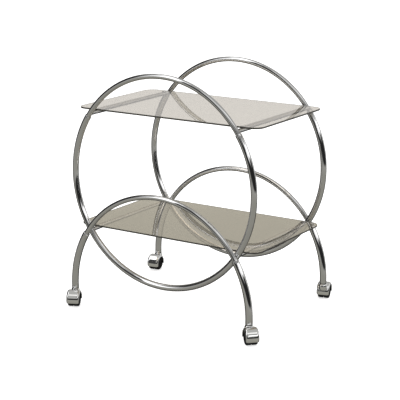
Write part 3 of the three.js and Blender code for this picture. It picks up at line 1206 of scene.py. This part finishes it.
    def sink_pockets(self, bm: BMesh, dish: float, hub: float, floor: float) -> None:
        """Sinks a ring of pockets between the hub and the rim of a wheel.

        Args:
            bm: The wheel, about the Z axis.
            dish: Outer radius of the dished web.
            hub: Radius of the hub.
            floor: Height of the web.
        """
        share, rib = FULL_TURN / self.pockets, self.rib_share
        groups: dict[int, list] = {}
        for face in bm.faces:
            middle = face.calc_center_median()
            reach = math.hypot(middle.x, middle.y)
            if abs(middle.z - floor) > 0.01 * MM or not hub + 1.3 * MM < reach < dish - 0.5 * MM:
                continue
            turn = (math.atan2(middle.y, middle.x) % FULL_TURN) / share
            if rib < turn % 1.0 < 1.0 - rib:
                groups.setdefault(int(turn), []).append(face)
        for faces in groups.values():
            bmesh.ops.inset_region(bm, faces=faces, thickness=self.pocket_rounding,
                                   depth=-self.pocket_depth, use_even_offset=True)

    def hood(self, name: str) -> Mesh:
        """Builds the hood: a rounded band over both wheels, the boss, and the plate between the wheels.

        Args:
            name: The mesh's name.

        Returns:
            The hood as one closed shell, in place.
        """
        # The cutter ends within the band's wall, so the boss and the band grow together.
        wheel_space = self.hood_outer - self.hood_wall * 2 / 3
        boss = combine(self.boss(), [("DIFFERENCE", self.barrel(wheel_space, self.hood_half_width * 2))])
        shell = combine(self.band(), [
            ("UNION", boss),
            ("UNION", self.plate()),
            ("DIFFERENCE", self.stem_drill()),
            ("DIFFERENCE", self.barrel(self.axle_hole, self.web * 2)),
        ])
        bm = bmesh.new()
        bm.from_mesh(shell)
        bpy.data.meshes.remove(shell)
        return self.set_down(bm, name)

    def band(self) -> Mesh:
        """Builds the band over the wheels.

        Returns:
            The band, spun round the axle and given its wall.
        """
        radius, shoulder = self.hood_outer, self.hood_shoulder
        flat = self.hood_half_width - shoulder
        right = corner_arc((flat, radius - shoulder), shoulder, 0, 90, 10)
        left = [(-x, height) for x, height in reversed(right)]
        level = [(flat * (1 - i / 4), radius) for i in range(1, 8)]
        lead = -math.asin(self.lead_drop / radius)
        rear = HALF_TURN + math.asin(self.rear_drop / radius)
        bm = bmesh.new()
        corners, edges = polyline(bm, [(x, height, 0.0) for x, height in (*right, *level, *left)])
        bmesh.ops.rotate(bm, verts=corners, cent=(0, 0, 0), matrix=Matrix.Rotation(lead, 3, "X"))
        bmesh.ops.spin(bm, geom=corners + edges, cent=(0, 0, 0), axis=(1, 0, 0), angle=rear - lead,
                       steps=self.band_steps, use_merge=False, use_duplicate=False)
        face_outwards(bm)
        probe = bm.faces[:][0]
        middle = probe.calc_center_median()
        if probe.normal.dot(Vector((middle.x, middle.y, middle.z))) < 0:
            bmesh.ops.reverse_faces(bm, faces=bm.faces[:])
        bmesh.ops.solidify(bm, geom=bm.faces[:], thickness=self.hood_wall)
        bmesh.ops.transform(bm, matrix=self.to_axle(), verts=bm.verts[:])
        return to_mesh(bm, "band")

    def boss(self) -> Mesh:
        """Builds the upright boss that the stem stands in.

        Returns:
            The boss, swelling like a bead into the band.
        """
        neck, widest = self.boss_neck, self.boss_top - self.boss_shoulder
        swell = self.boss_radius - neck
        belly = corner_arc((0.0, 0.0), 1.0, -90, 0, 12)[:-1]
        shoulder = corner_arc((0.0, 0.0), 1.0, 0, 90, 12)
        outline = [
            (0.0, self.boss_bottom),
            *((neck + swell * out, widest + (widest - self.boss_bottom) * up) for out, up in belly),
            *((neck + swell * out, widest + self.boss_shoulder * up) for out, up in shoulder),
            (0.0, self.boss_top),
        ]
        return to_mesh(turned(outline, self.boss_steps), "boss")

    def barrel(self, radius: float, length: float) -> Mesh:
        """Builds a plain round cutter about the axle.

        Args:
            radius: Its radius.
            length: Its length along the axle.

        Returns:
            The cutter's mesh.
        """
        lying = self.to_axle() @ Matrix.Rotation(QUARTER_TURN, 4, "Y")
        return to_mesh(rod(radius, length, lying), "barrel")

    def plate(self) -> Mesh:
        """Builds the plate between the wheels.

        Returns:
            The plate, cut off along the hood's open side.
        """
        radius = self.hood_outer - self.hood_wall / 2
        lead = Vector((0.0, math.sqrt(radius**2 - self.lead_drop**2), -self.lead_drop))
        rear = Vector((0.0, -math.sqrt(radius**2 - self.rear_drop**2), -self.rear_drop))
        bm = rod(radius, self.web, Matrix.Rotation(QUARTER_TURN, 4, "Y"))
        below = (lead - rear).cross(Vector((1.0, 0.0, 0.0)))
        below = below if below.z < 0 else -below
        cut = bmesh.ops.bisect_plane(bm, geom=[*bm.verts, *bm.edges, *bm.faces], plane_co=lead,
                                     plane_no=below, clear_outer=True)
        bmesh.ops.edgeloop_fill(bm, edges=only(BMEdge, cut["geom_cut"]))
        face_outwards(bm)
        bmesh.ops.transform(bm, matrix=self.to_axle(), verts=bm.verts[:])
        return to_mesh(bm, "plate")

    def stem_drill(self) -> Mesh:
        """Builds the cutter for the stem's seat."""
        top = Matrix.Translation((0, 0, self.boss_top))
        return to_mesh(rod(self.stem_hole, self.stem_depth * 2, top, sides=48), "stem_drill")


# ---------------------------------------------------------------- hidden hardware
@dataclass
class Hardware:
    """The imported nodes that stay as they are: bolts, inserts, stems and axles."""

    zinc: Material
    nodes: dict[str, bpy.types.Object]
    endings: tuple[str, ...] = ("_crossing_bolt", "_crossbar_insert", "_caster_stem", "_caster_axle")

    def build(self) -> None:
        """Dresses every one of them."""
        for name, node in self.nodes.items():
            if name.endswith(self.endings):
                for slot in node.material_slots:
                    slot.material = self.zinc
                LOG.info("%s: packed node, zinc plated", name)


# ---------------------------------------------------------------- studio
@dataclass(frozen=True)
class Card:
    """A soft-edged card or lamp of the studio, seen only in reflections and through glass.

    Angles are in degrees. Azimuth is 0 towards the camera and grows to the camera's right.
    """

    azimuth: float
    half_width: float
    low: float
    high: float
    feather: float
    colour: tuple[float, float, float]


@dataclass
class Studio:
    """The floor, the surroundings, the lamp and the camera."""

    middle: Vector
    azimuth: float = 32.9
    elevation: float = 14.33
    distance: float = 4.041
    focal_length: float = 117.47
    sensor_width: float = 36.0
    aim: Vector = field(default_factory=lambda: Vector((0.0128, -0.0188, 0.3379)))
    backdrop: Colour = (1.0, 1.0, 1.0, 1.0)
    low_tone: Colour = (0.30, 0.295, 0.262, 1.0)
    high_tone: Colour = (0.44, 0.44, 0.43, 1.0)
    under_tone: Colour = (0.22, 0.215, 0.19, 1.0)
    # Painted shade: the glowing floor colour near the cart, as seen through the glass.
    near_floor_painted_shade: Colour = (0.30, 0.295, 0.26, 1.0)
    far_floor: Colour = (0.86, 0.855, 0.83, 1.0)
    paper: Colour = (0.94, 0.94, 0.935, 1.0)
    floor_glow: float = 0.6
    floor_size: float = 60.0
    lamp_place: tuple[float, float, float] = (0.8, -0.8, 3.0)
    lamp_tilt: float = 14.0
    lamp_size: float = 3.0
    lamp_power: float = 18.0
    cards: tuple[Card, ...] = (
        # the room behind the cart, darker towards the floor, with a paler dado
        Card(180, 84, -90, -12, 8, (0.05, 0.049, 0.045)),
        Card(150, 62, -15, 45, 9, (0.36, 0.36, 0.355)),
        Card(180, 70, 3, 12.6, 0.8, (0.64, 0.63, 0.62)),
        Card(180, 70, 13.4, 19, 0.8, (0.66, 0.63, 0.54)),
        # a pale side wall and dark beams above it
        Card(115, 12, 0, 32, 3, (0.75, 0.75, 0.74)),
        Card(40, 150, 36, 41, 2, (0.16, 0.16, 0.16)),
        # the dark side of the room, to the left
        Card(-120, 40, -9, 42, 9, (0.02, 0.02, 0.02)),
        # bright ceiling, in front
        Card(12, 50, 46, 62, 3, (0.98, 0.98, 0.97)),
        # a dark post beside the window, and a grey wall
        Card(-50, 11, -12, 50, 2, (0.05, 0.05, 0.05)),
        Card(-29, 8, -12, 45, 2, (0.42, 0.42, 0.41)),
        # furniture along the horizon, in front and to the right
        Card(25, 66, -9, 10, 2, (0.02, 0.02, 0.02)),
        Card(-6, 11, 8, 31, 2, (0.05, 0.05, 0.05)),
        Card(55, 24, 8, 17, 2, (0.02, 0.02, 0.02)),
        # the bright wall above it
        Card(57, 40, 19, 30, 1.5, (1.45, 1.45, 1.46)),
        Card(10, 9, 11, 17, 1.5, (1.5, 1.5, 1.5)),
        # the window
        Card(-69, 9, 15, 60, 1.5, (1.8, 1.8, 1.82)),
        Card(-95, 40, 54, 69, 2, (1.5, 1.5, 1.5)),
    )

    def build(self) -> None:
        """Sets up the whole studio."""
        bpy.context.scene.view_settings.view_transform = "Standard"
        self.camera()
        self.surroundings()
        self.floor()
        self.lamp()

    def camera(self) -> None:
        """Stands the camera in front of the cart, to its right and a little above it."""
        turn, tilt = math.radians(self.azimuth), math.radians(self.elevation)
        back = Vector((math.sin(turn) * math.cos(tilt), -math.cos(turn) * math.cos(tilt), math.sin(tilt)))
        data = bpy.data.cameras.new("camera")
        data.lens, data.sensor_width = self.focal_length, self.sensor_width
        camera = bpy.data.objects.new("camera", data)
        camera.location = self.middle + self.aim + back * self.distance
        camera.rotation_euler = (QUARTER_TURN - tilt, 0.0, turn)
        bpy.context.scene.collection.objects.link(camera)
        bpy.context.scene.camera = camera

    def surroundings(self) -> None:
        """Paints the room that the chrome and the glass mirror, behind a plain white backdrop."""
        world = bpy.data.worlds.new("studio")
        bpy.context.scene.world = world
        board = emptied(world)
        world.cycles.sampling_method = "NONE"
        direction = board.add("ShaderNodeTexCoord").outputs["Generated"]
        right, away, height = self.from_camera(board, direction)
        toward = board.math("MULTIPLY", away, -1.0)
        azimuth = board.math("DEGREES", board.math("ARCTAN2", right, toward))
        elevation = board.math("DEGREES", board.math("ARCSINE", height))
        tone = board.mix_colour(board.ramp(elevation, -20.0, 4.0), self.low_tone, self.high_tone)
        tone = board.mix_colour(board.ramp(elevation, -25.0, -85.0), tone, self.under_tone)
        for card in self.cards:
            mask = self.card_mask(board, card, azimuth, elevation)
            tone = board.mix_colour(mask, tone, (*card.colour, 1.0))
        seen = board.mix_colour(self.seen_plainly(board), tone, self.backdrop)
        background = board.add("ShaderNodeBackground", {"Color": seen, "Strength": 1.0})
        board.add("ShaderNodeOutputWorld", {"Surface": background.outputs[0]})

    def from_camera(self, board: NodeBoard, vector: Socket) -> Sequence[Socket]:
        """Turns a direction or a point so that the camera looks along it.

        Args:
            board: The board to add to.
            vector: The direction or the point.

        Returns:
            How far it lies to the camera's right, away from the camera, and up.
        """
        turn = {"Vector": vector, "Angle": -math.radians(self.azimuth)}
        rotated = board.add("ShaderNodeVectorRotate", turn, rotation_type="Z_AXIS")
        return board.split(rotated.outputs[0])

    @staticmethod
    def seen_plainly(board: NodeBoard) -> Socket:
        """Tells what the camera sees and what lights the cart from what is only mirrored.

        Args:
            board: The board to add to.

        Returns:
            One for camera and diffuse rays, nought for the others.
        """
        rays = board.add("ShaderNodeLightPath").outputs
        return board.math("MAXIMUM", rays["Is Camera Ray"], rays["Is Diffuse Ray"])

    @staticmethod
    def card_mask(board: NodeBoard, card: Card, azimuth: Socket,
                  elevation: Socket) -> Socket:
        """Masks the part of the surroundings that a card covers.

        Args:
            board: The world's board.
            card: The card.
            azimuth: Direction round the cart, in degrees.
            elevation: Direction above the horizon, in degrees.

        Returns:
            The mask.
        """
        turned_by = board.math("SUBTRACT", azimuth, card.azimuth)
        offset = board.math("ABSOLUTE", board.math("WRAP", turned_by, 180.0, -180.0))
        soft = card.feather
        across = board.ramp(offset, card.half_width - soft, card.half_width + soft, 1.0, 0.0)
        above = board.ramp(elevation, card.low - soft, card.low + soft)
        below = board.ramp(elevation, card.high - soft, card.high + soft, 1.0, 0.0)
        return board.math("MULTIPLY", across, board.math("MULTIPLY", above, below))

    def floor(self) -> None:
        """Lays a wide pale floor. Seen through the glass it glows instead, with painted shade that darkens
        it near the cart.
        """
        bm = bmesh.new()
        bmesh.ops.create_grid(bm, x_segments=8, y_segments=8, size=self.floor_size)
        mesh = to_mesh(bm, "floor")
        floor = bpy.data.objects.new("floor", mesh)
        bpy.context.scene.collection.objects.link(floor)
        material = bpy.data.materials.new("pale_floor")
        board = emptied(material)
        away = self.from_camera(board, board.add("ShaderNodeTexCoord").outputs["Object"])[1]
        # Painted shade: what the glass sees of the floor glows, darker near the cart and paler far off.
        painted_floor_shade = board.mix_colour(board.ramp(away, 1.0, 2.4), self.near_floor_painted_shade, self.far_floor)
        paper = board.add("ShaderNodeBsdfDiffuse", {"Color": self.paper})
        lit = board.add("ShaderNodeEmission", {"Color": self.backdrop, "Strength": self.floor_glow})
        pale = board.add("ShaderNodeAddShader", {0: paper.outputs[0], 1: lit.outputs[0]})
        painted_shade_glow = board.add("ShaderNodeEmission", {"Color": painted_floor_shade, "Strength": 1.0})
        shaders = {0: self.seen_plainly(board), 1: painted_shade_glow.outputs[0], 2: pale.outputs[0]}
        mixed = board.add("ShaderNodeMixShader", shaders)
        board.add("ShaderNodeOutputMaterial", {"Surface": mixed.outputs[0]})
        mesh.materials.append(material)
        floor.visible_glossy = False

    def lamp(self) -> None:
        """Hangs one broad soft lamp over the cart."""
        data = bpy.data.lights.new("soft_lamp", "AREA")
        data.shape, data.size, data.energy = "DISK", self.lamp_size, self.lamp_power
        lamp = bpy.data.objects.new("soft_lamp", data)
        lamp.location = self.middle + Vector(self.lamp_place)
        lamp.rotation_euler = (math.radians(self.lamp_tilt), math.radians(self.lamp_tilt), 0.0)
        lamp.visible_glossy = False
        bpy.context.scene.collection.objects.link(lamp)


def main() -> None:
    """Builds the studio and every sub-assembly, in order."""
    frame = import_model()
    low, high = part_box("upper_glass")
    centre_x = (low.x + high.x) / 2
    Studio(Vector((centre_x, 0.0, 0.0))).build()

    rings = PolishedChrome("chrome_rings", centre=(centre_x, 0.0, SideFrames.ring_height)).material()
    arches = PolishedChrome("chrome_arches", centre=(centre_x, 0.0, SideFrames.arch_height)).material()
    bars = PolishedChrome("chrome_bars").material()
    bright, worn_black = (0.95, 0.95, 0.94, 1.0), (0.007, 0.007, 0.0075, 1.0)
    hoods = PolishedChrome("chrome_hoods", bright, smooth=0.05, handled=0.12).material()
    plastic = MouldedPlastic("black_nylon").material()
    tread = MouldedPlastic("black_nylon_tread", worn_black, smooth=0.55, dust=0.02).material()

    frames = SideFrames(rings, arches, centre_x)
    frames.build()
    Crossbars(bars, frames).build()
    Shelves(SmokedGlass().material(), GlassEdge().material(), SoftRubber().material()).build()
    joints = {joint["name"]: joint for joint in frame["joints"]}
    for end in End:
        for side in Side:
            Caster(f"{end.value}_{side.value}", joints, hoods, plastic, tread).build()
    Hardware(ZincPlate().material(), frame["nodes"]).build()


if __name__ == "__main__":
    logging.basicConfig(level=logging.INFO, format="%(name)s %(message)s")
    main()
